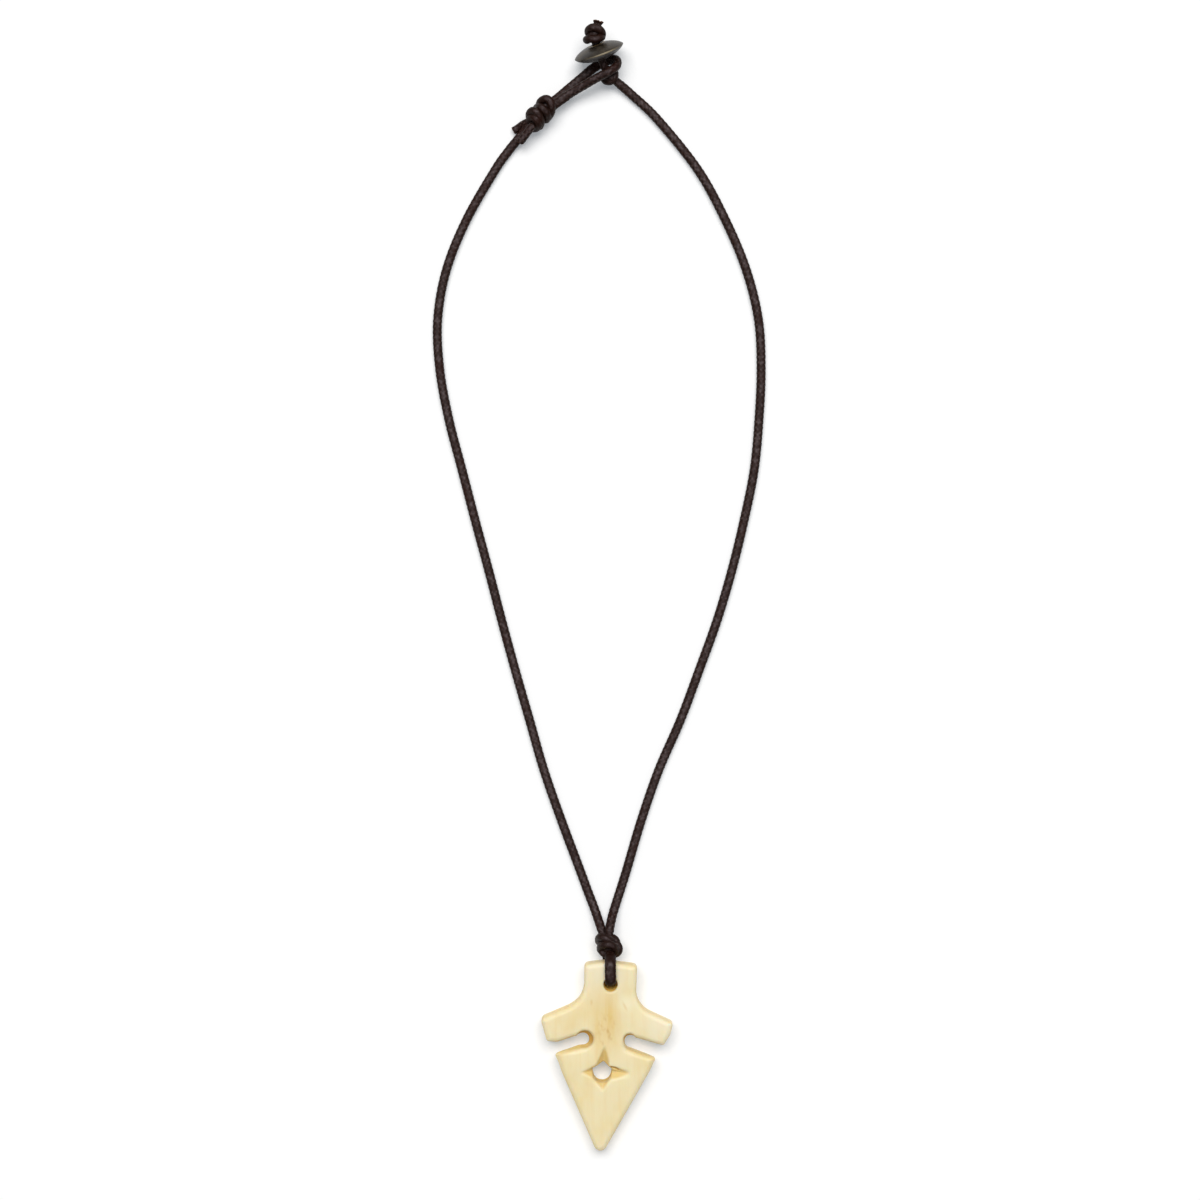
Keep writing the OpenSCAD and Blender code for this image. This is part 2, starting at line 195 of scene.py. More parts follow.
# %% A length of braided cord
def cord_part(route, width=2.0, thick=2.0, side=None, relief=0.09, step=0.17, sides=40, caps=(0.5, 0.5)):
    """A braided tube along a route, as vertices, quads, triangles and values.

    A point is the path's point plus half the width times the cosine of its angle sideways, plus half the
    thickness times the sine upwards. Both are scaled by the braid's height, and by a quarter ellipse over the
    caps at the ends. The values are how high a point lies in the braid, how far it faces up, and how near a
    cut tip it is.
    """
    points, along = smooth_curve(route, step)
    across, up = directions(points, side)
    angle = np.arange(sides) * 2 * np.pi / sides
    height = braid(angle[None, :], along[:, None])
    ends = np.ones(len(along))
    for cap, away in ((caps[0], along), (caps[1], along[-1] - along)):
        if cap > 0:
            ends = np.minimum(ends, np.sqrt(np.clip(1 - np.clip(1 - away / cap, 0, 1) ** 2, 0, 1)))
    scale = (ends[:, None] * (1 + relief * (height - 1)))[:, :, None]
    grid = points[:, None] + scale * (
        width / 2 * np.cos(angle)[None, :, None] * across[:, None]
        + thick / 2 * np.sin(angle)[None, :, None] * up[:, None]
    )
    grid[0] = points[0]
    grid[-1] = points[-1]
    grid[..., 2] = np.maximum(grid[..., 2], 0)
    vertices, quads, triangles = closed_tube(grid)
    ridge = 0.6 + min(1, relief / 0.09) ** 1.5 * (height[1:-1].ravel() - 0.6)
    top = (np.cos(angle) * across[:, 2:] + np.sin(angle) * up[:, 2:])[1:-1].ravel()
    values = {"ridge": np.r_[ridge, 0.6, 0.6], "top": np.r_[top, 0, 0], "tip": np.zeros(len(vertices))}
    return vertices, quads, triangles, values


# %% [markdown]
# ## The two long strands
#
# They lie on the surface from the pendant's knot up to the clasp, and rise only where they enter a knot.

# %% Routes of the long strands, in millimetres
left_route = [
    [-0.6, -79.6, 3.2], [-1.2, -77, 2.9], [-2, -74.6, 2.2], [-3, -71.8, 1.4], [-4.4, -68.2, 1],
    [-6.2, -63.3, 1], [-10.5, -51.8, 1], [-14.5, -40.3, 1], [-17.8, -28.8, 1], [-21.1, -17.3, 1],
    [-24.2, -5.9, 1], [-27.2, 5.6, 1], [-30.3, 17.1, 1], [-33.3, 28.6, 1], [-36.3, 40.1, 1],
    [-38.4, 51.6, 1], [-38.9, 63, 1], [-36.9, 74.5, 1], [-32.3, 86, 1], [-25.7, 97.5, 1],
    [-22.6, 101.9, 1], [-20.9, 104, 1.1], [-19.4, 105.8, 1.7], [-17.9, 107.6, 2.6], [-16.3, 109.2, 3.1],
]
right_route = [
    [0.6, -80, 3.6], [0.5, -77.4, 4.1], [0.9, -75, 3.2], [1.6, -72.4, 1.8], [2.9, -68.4, 1],
    [4.5, -63.3, 1], [7.9, -51.8, 1], [11.9, -40.3, 1], [16.9, -28.8, 1], [21.2, -17.3, 1],
    [25.3, -5.9, 1], [28.7, 5.6, 1], [31.5, 17.1, 1], [33.8, 28.6, 1], [34.9, 40.1, 1],
    [35.4, 51.6, 1], [34.8, 63, 1], [32, 74.5, 1], [27.2, 86, 1], [20.9, 97.5, 1],
    [11.7, 109, 1.05], [5.6, 114.8, 1.25], [2.6, 117.3, 2], [0.9, 118.7, 2.6],
]


# %% Making the long strands
def stretch(route, first, last):
    """The points of a route's smooth curve from its point number `first` to its point number `last`."""
    points, _ = smooth_curve(route, 0.5)
    ends = [np.argmin(np.linalg.norm(points - route[i], axis=1)) for i in (first, last)]
    return points[ends[0]:ends[1] + 1]


# Over the ridges of the braid a strand has a little more than its 2 mm, to look as wide as the real one
STRAND_W, STRAND_T = 2.16, 2.06
# An end that lies inside a knot is rounded over so many millimetres
HIDDEN_CAPS = (0.3, 0.3)

strands, strand_paths = {}, {}
for name, route in (("strand_left", left_route), ("strand_right", right_route)):
    strand_paths[name] = stretch(route, 1, 22)
    strand = cord_part(strand_paths[name], STRAND_W, STRAND_T, step=0.19, caps=HIDDEN_CAPS)
    strands[name] = new_piece(name, *strand)
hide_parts("cord_left")
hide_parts("cord_right")

# %% [markdown]
# ## The knots, the loop and the bight
#
# Each knot is built as it is tied: the ends of the strands that enter it, the turns that show on its outside,
# and a tight core that no light gets through. The loop and the bight over the tab are lengths of the same
# cord, a little squeezed.

# %% The plate's tilt, which the bight's route follows
PLATE_TILT = np.radians(3.2)
TIP_Y = -127.16
PLATE_LOW = 0.0434


def laid(points):
    """From the plate's own flat frame to where it lies: turned about x by the tilt, then moved."""
    p = np.asarray(points, float)
    c, s = np.cos(PLATE_TILT), np.sin(PLATE_TILT)
    along, high = p[..., 1] * c - p[..., 2] * s, p[..., 1] * s + p[..., 2] * c
    return np.stack([p[..., 0], TIP_Y + along, high - PLATE_LOW], -1)


# %% The bead's place, which the neck's route goes through
BEAD_D, BEAD_T, BEAD_FLAT, BEAD_HOLE = 11.7, 3.9, 3.6, 2.4
lean, swing = np.radians(17), np.radians(20)
bead_axis = np.array([-np.sin(swing) * np.cos(lean), np.cos(swing) * np.cos(lean), np.sin(lean)])
bead_middle = np.array([-1.85, 123.95, BEAD_D / 2 * np.cos(lean)])


def bead_point(share):
    """A point on the bead's axis, so many thicknesses from its middle."""
    return list(bead_middle + share * BEAD_T * bead_axis)


# %% Routes of the loop, the bight and the neck
loop_route = [
    [-14.2, 111.4, 2.4], [-12.6, 112.8, 2.1], [-11, 114.1, 1.8], [-8.3, 116.5, 1.2], [-5.6, 118.8, 1],
    [-3.4, 120.7, 1], [-1, 122.2, 1.2], [1.2, 122.7, 2.1], [2.3, 122.1, 3.5], [2.1, 120.7, 4.9],
    [0.2, 119.2, 5.9], [-2.2, 118.05, 5.3], [-5.4, 116.4, 4.1], [-8.9, 114.4, 3.4], [-11.3, 112.7, 3.6],
    [-12.8, 111.5, 3.7], [-14.2, 110.4, 3.6],
]
bight_route = laid([
    [0.75, 47, 1.2], [0.75, 46, 2.4], [0.75, 45.1, 3.9], [0.75, 44.35, 5.3], [0.75, 43.2, 6.2],
    [0.75, 41.8, 6.2], [0.8, 40.5, 6.15], [0.8, 39.4, 5.8], [0.8, 38.85, 4.7], [0.8, 38.8, 2.5],
    [0.8, 38.9, 0.4], [0.78, 39.3, -0.8], [0.7, 40.4, -1.12], [0.5, 42.2, -1.15], [0.2, 44.2, -1.1],
    [0.1, 46, -0.6], [0.1, 47.4, 0.2],
])
neck_route = [
    [0.9, 118.4, 2.6], [0.2, 119.6, 3.4], [-0.6, 120.7, 4.4],
    bead_point(-0.55), bead_point(0), bead_point(0.55), bead_point(0.95), [-3.3, 128.4, 7.1],
]

# %% The turns that show on each knot
knot_turns = {
    "knot_pendant": [
        [[-1.8, -79.8, 2.2], [-1.85, -78.8, 3.8], [-1.35, -78.2, 5.6], [-0.4, -78.4, 6.3], [0.9, -79.1, 5.6],
         [1.8, -80.2, 4.2]],
        [[1, -78.4, 4.1], [1.9, -79, 4.8], [2.2, -80, 4.3], [2, -81.2, 3]],
        [[-1.4, -81.6, 2.6], [-1.4, -80.6, 4.6], [-0.6, -79.9, 6.3], [0.7, -79.8, 6.9], [1.7, -80.5, 6.2],
         [2, -81.6, 4.8], [1.5, -82.2, 3.4]],
        [[1.6, -79.8, 5], [2.4, -80.1, 5.2], [2.7, -81.1, 4.8], [2.3, -82, 4], [1.4, -82.4, 3.2]],
        [[-1.35, -80.2, 2.8], [-1.3, -81.3, 3.8], [-0.5, -82.1, 4.3], [0.8, -82.3, 3.9]],
        [[-1.2, -79.3, 2], [0.2, -80, 1.3], [1.6, -81.1, 1.6]],
    ],
    "knot_loop": [
        [[-15.5, 112.3, 2.5], [-15, 112.9, 4.2], [-13.9, 113.2, 5.3], [-13, 112.6, 5.6],
         [-12.7, 111.4, 5.2], [-12.8, 110.3, 4.2], [-13.6, 109.3, 3], [-14.7, 108.6, 2.2]],
        [[-16.3, 111.2, 2.5], [-15.7, 111.6, 4], [-15, 111.1, 5.6], [-13.9, 110.2, 5.4],
         [-13.6, 109.3, 4], [-14.2, 108.6, 2.5]],
        [[-17.7, 109.2, 2.2], [-17.7, 110, 3.8], [-17, 110.5, 5], [-16, 110, 5.8],
         [-15.3, 108.8, 5.2], [-15.2, 107.8, 3.8], [-15.7, 107, 2.4]],
        [[-17.8, 108.2, 2.8], [-17.3, 109, 4.4], [-16.2, 108.6, 5.4], [-15.7, 107.5, 4.5],
         [-16.2, 106.9, 3.1], [-17.2, 106.9, 2]],
    ],
    "knot_stopper": [
        [[-4.1, 127.8, 6], [-4.2, 128.5, 7.5], [-3.3, 128.9, 8.8], [-2, 128.6, 8.9], [-1.2, 127.9, 8],
         [-1.2, 127.3, 6.6]],
        [[-4.4, 126.6, 5.6], [-4.6, 126.4, 7.2], [-3.9, 126.4, 8.4], [-2.6, 126.3, 8.9], [-1.5, 126.7, 8.2],
         [-1.2, 127.2, 6.8]],
        [[-4.4, 127.5, 5.4], [-3, 127.9, 4.8], [-1.4, 127.9, 5.4]],
    ],
    "knot_under": [
        [[-0.7, 118.5, 1.6], [-0.2, 117.8, 2.4], [0.8, 117.6, 3.1], [1.6, 118.4, 3.2], [1.7, 119.6, 2.4],
         [1.1, 120.3, 1.4]],
        [[-0.5, 119.6, 2], [0, 118.8, 3.2], [0.9, 118.2, 3.5], [1.6, 117.9, 2.6]],
    ],
}
knot_cores = {
    "knot_pendant": ([-0.4, -79.9, 4], [0.9, -81, 4], 1.9),
    "knot_loop": ([-16, 108.7, 3.2], [-14, 111.3, 3.2], 1.9),
    "knot_stopper": ([-3, 127.5, 6.9], [-2.8, 127.7, 7], 1.7),
    "knot_under": ([0.7, 118.5, 2.3], [1, 118.9, 2.2], 1.6),
}
# Each cut end has its route, how far its yarns reach out of it, and how far they spread
cut_ends = {
    "knot_loop": [
        ([[-16.2, 108.9, 3.2], [-18, 108.3, 2.8], [-19.3, 107.8, 1.8],
          [-20.4, 107.1, 1.1], [-21.4, 106.5, 1]], 0.25, 0.1),
        ([[-16.7, 107.5, 4.8], [-17.8, 106.2, 4.5], [-19, 104.7, 3.9], [-19.9, 103.6, 3.3]], 0.2, 0.05),
    ],
    "knot_stopper": [([[-2.5, 128.1, 7.2], [-2.3, 129.2, 7.8], [-2.1, 130.2, 8]], 0.55, 0.6)],
}
KNOT_CORD = 1.9


# %% [markdown]
# ## Frayed ends
#
# Where the cord was cut, its yarns come apart for up to half a millimetre and their tips are paler, because
# the wax and the dye do not reach into the cut. Each yarn is a thin tube with a round tip, which starts
# inside the cord and leans outwards.

# %% A cut and frayed end
# A yarn's diameter, how deep inside the cord it starts, the radius of the disc that it starts on, and how many
# turns the spiral of all the starts makes
YARN_D, YARN_ROOT, YARN_DISC, YARN_TURNS = 0.34, 0.8, 0.78, 2.4


def frayed(route, reach, spread, seed, yarns=30):
    """Thin yarns out of the end of a route.

    A yarn starts inside the cord, on a disc across it and at the square root of its share of the radius. Its
    path is the end's heading plus a lean outwards that grows with the square of the way along it. Only its
    last part is a tip.
    """
    points, _ = smooth_curve(route, 0.2)
    across, up = directions(points)
    end, heading = points[-1], (points[-1] - points[-3]) / np.linalg.norm(points[-1] - points[-3])
    rng = np.random.default_rng(seed)
    parts = []
    for k in range(yarns):
        turn = 2 * np.pi * (k + rng.uniform(-0.3, 0.3)) / yarns * YARN_TURNS
        out = np.sqrt((k + 0.5) / yarns)
        away = np.cos(turn) * across[-1] + np.sin(turn) * up[-1]
        length = YARN_ROOT + reach * rng.uniform(0.5, 1.0)
        t = np.linspace(0, 1, 6)[:, None]
        start = end - heading * YARN_ROOT + YARN_DISC * out * away
        yarn = start + t * length * heading + t**2 * spread * out * away
        part = cord_part(yarn, YARN_D, YARN_D, relief=0, step=0.1, sides=10, caps=(0, 0.15))
        way = (part[0] - yarn[0]) @ heading / length
        part[3]["tip"] = np.clip((way - 0.82) / 0.18, 0, 1)
        parts.append(part)
    return parts


# %% Tying each knot
def tie(name, entering):
    """One knot: its core, the turns that show, the lengths that enter it and its cut ends.

    Each length that enters has its route, its width and its thickness.
    """
    a, b, radius = knot_cores[name]
    a, b = np.array(a, float), np.array(b, float)
    axis = (b - a) / np.linalg.norm(b - a)
    parts = [cord_part([a - axis * radius, a, b, b + axis * radius], 2 * radius, 2 * radius,
                       relief=0.03, caps=(radius, radius), step=0.12)]
    parts += [cord_part(turn, KNOT_CORD, KNOT_CORD, relief=0.05, step=0.15) for turn in knot_turns[name]]
    parts += [cord_part(route, width, thick, relief=0.06) for route, width, thick in entering]
    for i, (route, reach, spread) in enumerate(cut_ends.get(name, [])):
        parts.append(cord_part(route, KNOT_CORD, KNOT_CORD, caps=(0.5, 0.12)))
        parts += frayed(route, reach, spread, 3 + i)
    return new_piece(name, *joined(parts))


knots = {
    "knot_pendant": tie("knot_pendant", [
        (stretch(left_route, 0, 2), 2, 2), (stretch(right_route, 0, 2), 2, 2),
        (bight_route[:4], 2.3, 1.4), (bight_route[-4:], 2.2, 1.9),
    ]),
    "knot_loop": tie("knot_loop", [
        (stretch(left_route, 21, 24), 2, 2), (loop_route[:4], 2.3, 2), (loop_route[-4:], 2.3, 2),
    ]),
    "knot_stopper": tie("knot_stopper", [(neck_route[-3:], 2, 2)]),
    "knot_under": tie("knot_under", [(stretch(right_route, 21, 23), 2, 2), (neck_route[:3], 2, 2)]),
}
for name, node in (("knot_pendant", "pendant_knot"), ("knot_loop", "loop_knot"),
                   ("knot_stopper", "stopper_knot"), ("knot_under", "under_knot")):
    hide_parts(node)

# %% The loop, the bight and the neck
loop = new_piece("loop_over_bead", *cord_part(
    loop_route[1:-1], 2.3, 2.0, relief=0.08, step=0.15, caps=HIDDEN_CAPS))
# In the bore the cord is pushed a little towards the end of the tab
in_bore = np.exp(-((bight_route[:, 1] + 88.6) / 1.2) ** 2)[:, None]
bight_inner = (bight_route + in_bore * [0, 0.15, 0])[2:-1]
bight = new_piece("bight_over_tab", *cord_part(
    bight_inner, 2.6, 1.6, side=(-1, 0, 0), relief=0.03, step=0.12, caps=HIDDEN_CAPS))
neck = new_piece("neck_through_bead", *cord_part(neck_route[1:-1], 2.0, 2.0, step=0.12, caps=HIDDEN_CAPS))
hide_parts("clasp_loop")
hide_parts("pendant_bight")
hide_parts("toggle_neck")

# %% [markdown]
# ## The bead
#
# The toggle is a lens of horn, turned on a lathe: two shallow domes that meet in a thin rim, a small flat
# round each mouth of its hole, and the hole itself. A lathe shape is a profile turned about an axis, so its
# grid has the profile along one way and the angle along the other.

# %% Turning the bead
def turned_bead(profile_steps=30, angle_steps=128):
    """The bead's grid, closed both ways.

    At radius r a dome stands half of the thickness times (1 - (2r / diameter)^2)^0.72 over the middle plane.
    The profile goes from the hole over the flat and the dome to the rim, back under it, and home through the
    hole.
    """
    flat, rim = BEAD_FLAT / 2, BEAD_D / 2
    part = np.linspace(0, 1, profile_steps)
    r = flat + (rim - flat) * np.sin(part * np.pi / 2)
    r[-1] = rim * 0.9995
    dome = BEAD_T / 2 * (1 - (2 * r / BEAD_D) ** 2) ** 0.72
    top = BEAD_T / 2 * (1 - (2 * flat / BEAD_D) ** 2) ** 0.72
    hole = BEAD_HOLE / 2
    mouth_r = np.array([hole, hole, hole + 0.05, hole + 0.2, flat - 0.12])
    mouth_z = np.array([0.0, top - 0.2, top - 0.07, top, top + 0.015])
    radius = np.r_[mouth_r, r, r[::-1], mouth_r[::-1][:-1]]
    height = np.r_[mouth_z, dome, -dome[::-1], -mouth_z[::-1][:-1]]
    angle = np.arange(angle_steps) * 2 * np.pi / angle_steps
    side = np.cross(bead_axis, (0, 0, 1))
    side /= np.linalg.norm(side)
    up = np.cross(side, bead_axis)
    ring = np.cos(angle)[:, None] * side + np.sin(angle)[:, None] * up
    grid = bead_middle + radius[:, None, None] * ring[None] + height[:, None, None] * bead_axis
    return grid, radius, height


grid, bead_radius, bead_height = turned_bead()
n, m = grid.shape[:2]
turn_angle = np.tile(np.arange(m) * 2 * np.pi / m, n)
bead_values = {
    "from_axis": np.repeat(bead_radius / (BEAD_D / 2), m),
    "toward_stopper": np.repeat(bead_height / (BEAD_T / 2), m),
    # worn: the upper side of the rim, where a pale line is wear and a painted highlight
    "worn_and_highlit": np.exp(-((turn_angle - np.pi / 2 + 0.15) / 0.5) ** 2),
}
bead = new_piece("horn_bead", grid.reshape(-1, 3), grid_quads(n, m, closed=True), NO_TRIANGLES, bead_values)
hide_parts("bead")

# %% [markdown]
# ## The bone plate
#
# The pendant was sawn from flat bone, and everything else on it was cut and rubbed down by hand: round edges,
# two slots that end in flared holes, four scooped grooves that meet in a pierced star, and a bore. Such a
# shape is easiest as a signed distance, a function of x, y and z that is negative in the bone and zero on its
# surface. Cutting is then the larger of two distances, and a soft edge is a smooth kind of larger.

# %% The plate's outline and its cuts, in millimetres in the plate's own flat frame
PLATE_T, FRONT_ROUND, BACK_ROUND, BORE_D = 5.0, 1.2, 0.8, 3.2
plate_corners = [
    [-1.7, -1.8, 1.5], [11.25, 21.1, 0.6], [4.15, 23.85, 1.2], [4.2, 26.1, 1.1], [6.9, 26.11, 1],
    [12.9, 24.35, 0.7], [14.5, 26.9, 3], [15.1, 29.5, 0.9], [6.5, 33.5, 5.5], [6.9, 42.8, 1.1],
    [-0.4, 43.8, 14], [-5.2, 43.15, 1.1], [-5.2, 34.9, 6], [-15.25, 30.6, 1.2], [-13.75, 25.4, 0.7],
    [-11.5, 25.15, 3], [-7.4, 26.54, 1], [-4.6, 26.75, 1.2], [-3.87, 24.57, 1.2], [-12, 22.1, 0.6],
]
star_hole = [[-0.75, 20.7, 0.5], [-3.45, 19.1, 0.45], [-2.85, 15.9, 2], [0.45, 15.9, 2], [1.2, 18.85, 0.45]]
slot_flares = [[-5.6, 25.25, 1.15, -5, 26.05, 2.1], [5.4, 24.75, 1.2, 5.1, 26, 1.4]]
bore_at, BORE_LEAN, BORE_TAPER = [0.8, 38.85], np.radians(8), 0.08


def filleted(corners, arc=np.radians(4)):
    """The closed outline of corners, each rounded by its own radius.

    An arc's middle is the corner moved inwards by the radius over the cosine of half the turn, and its points
    are the radius turned in equal steps.
    """
    c = np.array(corners, float)
    edge = np.roll(c[:, :2], -1, axis=0) - c[:, :2]
    after = edge / np.linalg.norm(edge, axis=1)[:, None]
    before = np.roll(after, 1, axis=0)
    turn = np.arctan2(before[:, 0] * after[:, 1] - before[:, 1] * after[:, 0], (before * after).sum(1))
    left = np.stack([-before[:, 1], before[:, 0]], -1)
    inward = (left + np.stack([-after[:, 1], after[:, 0]], -1)) / (1 + (before * after).sum(1))[:, None]
    reach = (np.sign(turn) * c[:, 2])[:, None]
    middle = c[:, :2] + reach * inward
    points = []
    for i in range(len(c)):
        a = np.linspace(0, turn[i], int(np.ceil(abs(turn[i]) / arc)) + 1)
        start = -reach[i] * left[i]
        points.append(middle[i] + np.stack([start[0] * np.cos(a) - start[1] * np.sin(a),
                                            start[0] * np.sin(a) + start[1] * np.cos(a)], -1))
    return np.vstack(points)


def from_outline(x, y, outline):
    """Distance from a closed outline, negative inside it.

    It is the least distance to any of the edges. The sign comes from how many edges a ray to the right
    crosses.
    """
    shape = np.broadcast(x, y).shape
    px, py = (np.broadcast_to(q, shape).ravel() for q in (x, y))
    a, b = outline, np.roll(outline, -1, axis=0)
    e = b - a
    keep = (e**2).sum(1) > 1e-12
    a, b, e = a[keep], b[keep], e[keep]
    found = np.empty(px.size)
    for s in range(0, px.size, 8192):
        wx = px[s:s + 8192, None] - a[:, 0]
        wy = py[s:s + 8192, None] - a[:, 1]
        t = np.clip((wx * e[:, 0] + wy * e[:, 1]) / (e**2).sum(1), 0, 1)
        near = ((wx - t * e[:, 0]) ** 2 + (wy - t * e[:, 1]) ** 2).min(1)
        above = py[s:s + 8192, None] >= a[:, 1]
        crosses = (above != (py[s:s + 8192, None] >= b[:, 1])) & (
            (e[:, 0] * wy - e[:, 1] * wx) * np.sign(e[:, 1]) < 0)
        found[s:s + 8192] = np.sqrt(near) * np.where(crosses.sum(1) % 2, -1, 1)
    return found.reshape(shape)


# %% Soft cuts
def soft_max(a, b, width):
    """The larger of two distances, with a parabola of that width where they are nearly equal."""
    return np.maximum(a, b) + np.clip(width - np.abs(a - b), 0, None) ** 2 / (4 * width)


def smooth_step(x):
    """0 below 0 and 1 above 1, and between them 3x^2 - 2x^3."""
    x = np.clip(x, 0, 1)
    return x * x * (3 - 2 * x)


# %% The four grooves of the star
# Each groove has the x and y of its tip, its depth per mm of way from the tip, and for the side to the left
# and to the right of that way how wide it is at 1 mm and the power by which it widens
star_middle = np.array([-1.1, 18.5])
star_grooves = [
    [-0.5, 24.5, 0.48, 0.52, 0.8, 0.5, 0.8],
    [5.35, 18.25, 0.42, 1.0, 0.42, 0.64, 0.56],
    [-0.9, 13.85, 0.5, 0.8, 0.98, 0.62, 1.1],
    [-6.05, 18.35, 0.5, 0.5, 1.0, 0.68, 0.75],
]
slit = [[1.0, 19.55], [1.9, 19.4], [2.6, 18.95]]


def groove_depth(x, y, groove):
    """How deep a groove is under the front face at x and y, above zero only inside its leaf shape.

    With s the way from the tip towards the star's middle and t the way across, the half width is a number
    times a power of s, the depth on the middle line a number times s, and from there a straight facet rises
    to the edge.
    """
    tip = np.array(groove[:2])
    length = np.linalg.norm(star_middle - tip)
    ahead = (star_middle - tip) / length
    s = (x - tip[0]) * ahead[0] + (y - tip[1]) * ahead[1]
    t = -(x - tip[0]) * ahead[1] + (y - tip[1]) * ahead[0]
    way = np.clip(s, 0.02, None)
    half = np.where(t > 0, groove[3] * way ** groove[4], groove[5] * way ** groove[6])
    valley = groove[2] * np.clip(s, 0, 3.6) * (1 - np.sqrt(t**2 + 0.012) / half)
    return valley - 4 * np.clip(s - length, 0, None) - 2 * np.clip(0.1 - s, 0, None)


def from_slit(x, y):
    """Distance from the two short lines of the narrow slit that a slipped blade left in the right groove."""
    found = []
    for a, b in zip(np.array(slit[:-1]), np.array(slit[1:])):
        e = b - a
        t = np.clip(((x - a[0]) * e[0] + (y - a[1]) * e[1]) / (e @ e), 0, 1)
        found.append(np.hypot(x - a[0] - t * e[0], y - a[1] - t * e[1]))
    return np.minimum(*found)


# %% Tables of the outlines' distances
# The outlines are long, and the bone asks for their distance at millions of points, so each is worked out
# once on a fine flat grid and then read between the grid's points.
class DistanceTable:
    """Distance from an outline, read from a grid by the four nearest values in proportion."""

    def __init__(self, outline, low, high, gap):
        self.low, self.gap = np.array(low), gap
        x, y = (np.arange(a, b, gap) for a, b in zip(low, high))
        self.values = from_outline(x[:, None], y[None, :], outline)

    def __call__(self, x, y):
        u = np.clip((x - self.low[0]) / self.gap, 0, self.values.shape[0] - 1.001)
        v = np.clip((y - self.low[1]) / self.gap, 0, self.values.shape[1] - 1.001)
        u, v = np.broadcast_arrays(u, v)
        i, j = u.astype(int), v.astype(int)
        s, t = u - i, v - j
        near = self.values[i, j] * (1 - t) + self.values[i, j + 1] * t
        far = self.values[i + 1, j] * (1 - t) + self.values[i + 1, j + 1] * t
        return near * (1 - s) + far * s


from_plate = DistanceTable(filleted(plate_corners), (-16.6, -2.6), (16.6, 45.6), 0.1)
from_hole = DistanceTable(filleted(star_hole), (-4.5, 13), (2.5, 22.5), 0.05)


# %% The bone as one distance
def flare(x, y, z, f):
    """Distance from the leaning cone at the end of a slot, negative inside it."""
    share = z / PLATE_T
    across = np.hypot(x - f[0] - share * (f[3] - f[0]), y - f[1] - share * (f[4] - f[1]))
    return across - f[2] - share * (f[5] - f[2])


def slot_middle(x):
    """The y of the slots' middle lines, which rise towards the plate's own middle."""
    return np.where(x < 0, 25.9 + 0.33 * (x + 4.6), 25.5 - 0.36 * (x - 4.6))


def saw_lean(x, y, z):
    """How far the lower wall of a slot stands into it, because the saw leaned and turned on its way.

    At each x there is one number for the back edge and one for the front edge, and between them a straight
    line.
    """
    back = np.interp(
        x, [-12, -10, -9, -6.7, -5.6, -4.2, 4, 9.2, 11.2], [-0.3, -0.06, 0, 0.2, 0.2, 0, 0, 0, -0.25])
    front = np.interp(
        x, [-12, -11, -10, -9, -7.5, -6, 6.5, 8.5, 10.6], [0.5, 0.8, 0.7, 0.45, 0.15, 0, 0, 0.2, 0.6])
    share = z / PLATE_T
    return (back * (1 - share) + front * share) * (y < slot_middle(x)) * smooth_step((y - 18) / 3)


def bore(x, y, z):
    """Distance from the bore, which leans back towards the end of the tab and narrows, negative inside it."""
    across = y - bore_at[1] + (z - PLATE_T / 2) * np.tan(BORE_LEAN)
    return np.hypot(x - bore_at[0], across * np.cos(BORE_LEAN)) - (BORE_D - BORE_TAPER * (PLATE_T - z)) / 2


def front_face(x, y, inside):
    """Height of the front face: a little lower towards its edges, and uneven as rubbing by hand leaves it."""
    wave = 0.035 * np.sin(0.55 * x + 0.9) * np.cos(0.37 * y) + 0.02 * np.sin(0.21 * x - 0.8 * y)
    return PLATE_T - 0.16 * np.exp(-inside / 1.6) + wave * smooth_step(inside / 2)


def bone(x, y, z):
    """Signed distance of the carved plate.

    The plate is its outline's distance and the distance from its middle height, joined with a quarter round
    of the front's or the back's radius. Each cut is a soft larger of the plate and what the cut leaves.
    """
    edge = from_plate(x, y - saw_lean(x, y, z))
    high = z - front_face(x, y, np.clip(-edge, 0, None))
    upper = z > PLATE_T / 2
    r = np.where(upper, FRONT_ROUND, BACK_ROUND)
    qx, qz = edge + r, np.where(upper, high, -z) + r
    body = np.minimum(np.maximum(qx, qz), 0) + np.hypot(np.maximum(qx, 0), np.maximum(qz, 0)) - r
    ridge = 0.25 * np.exp(-((x - 1.9) / 0.7) ** 2 - ((y - 18.75) / 0.3) ** 2)
    for groove in star_grooves:
        steep = np.hypot(1, groove[2] / 0.55)
        body = soft_max(body, (high + groove_depth(x, y, groove) - ridge) / steep, 0.26)
    body = soft_max(body, np.minimum(0.2 - from_slit(x, y), z - 4.05), 0.24)
    body = soft_max(body, -from_hole(x, y), 0.42)
    for f in slot_flares:
        body = soft_max(body, -flare(x, y, z, f), 0.45)
    return soft_max(body, -bore(x, y, z), 0.4)


# %% [markdown]
# ## From a distance to a mesh
#
# Surface nets give an even mesh from any distance: space is divided into small cells, a cell that the surface
# goes through gets one vertex, and an edge of the grid that goes through the surface gets the quad of its
# four cells. Then every vertex is moved along the distance's own slope until the distance there is zero.

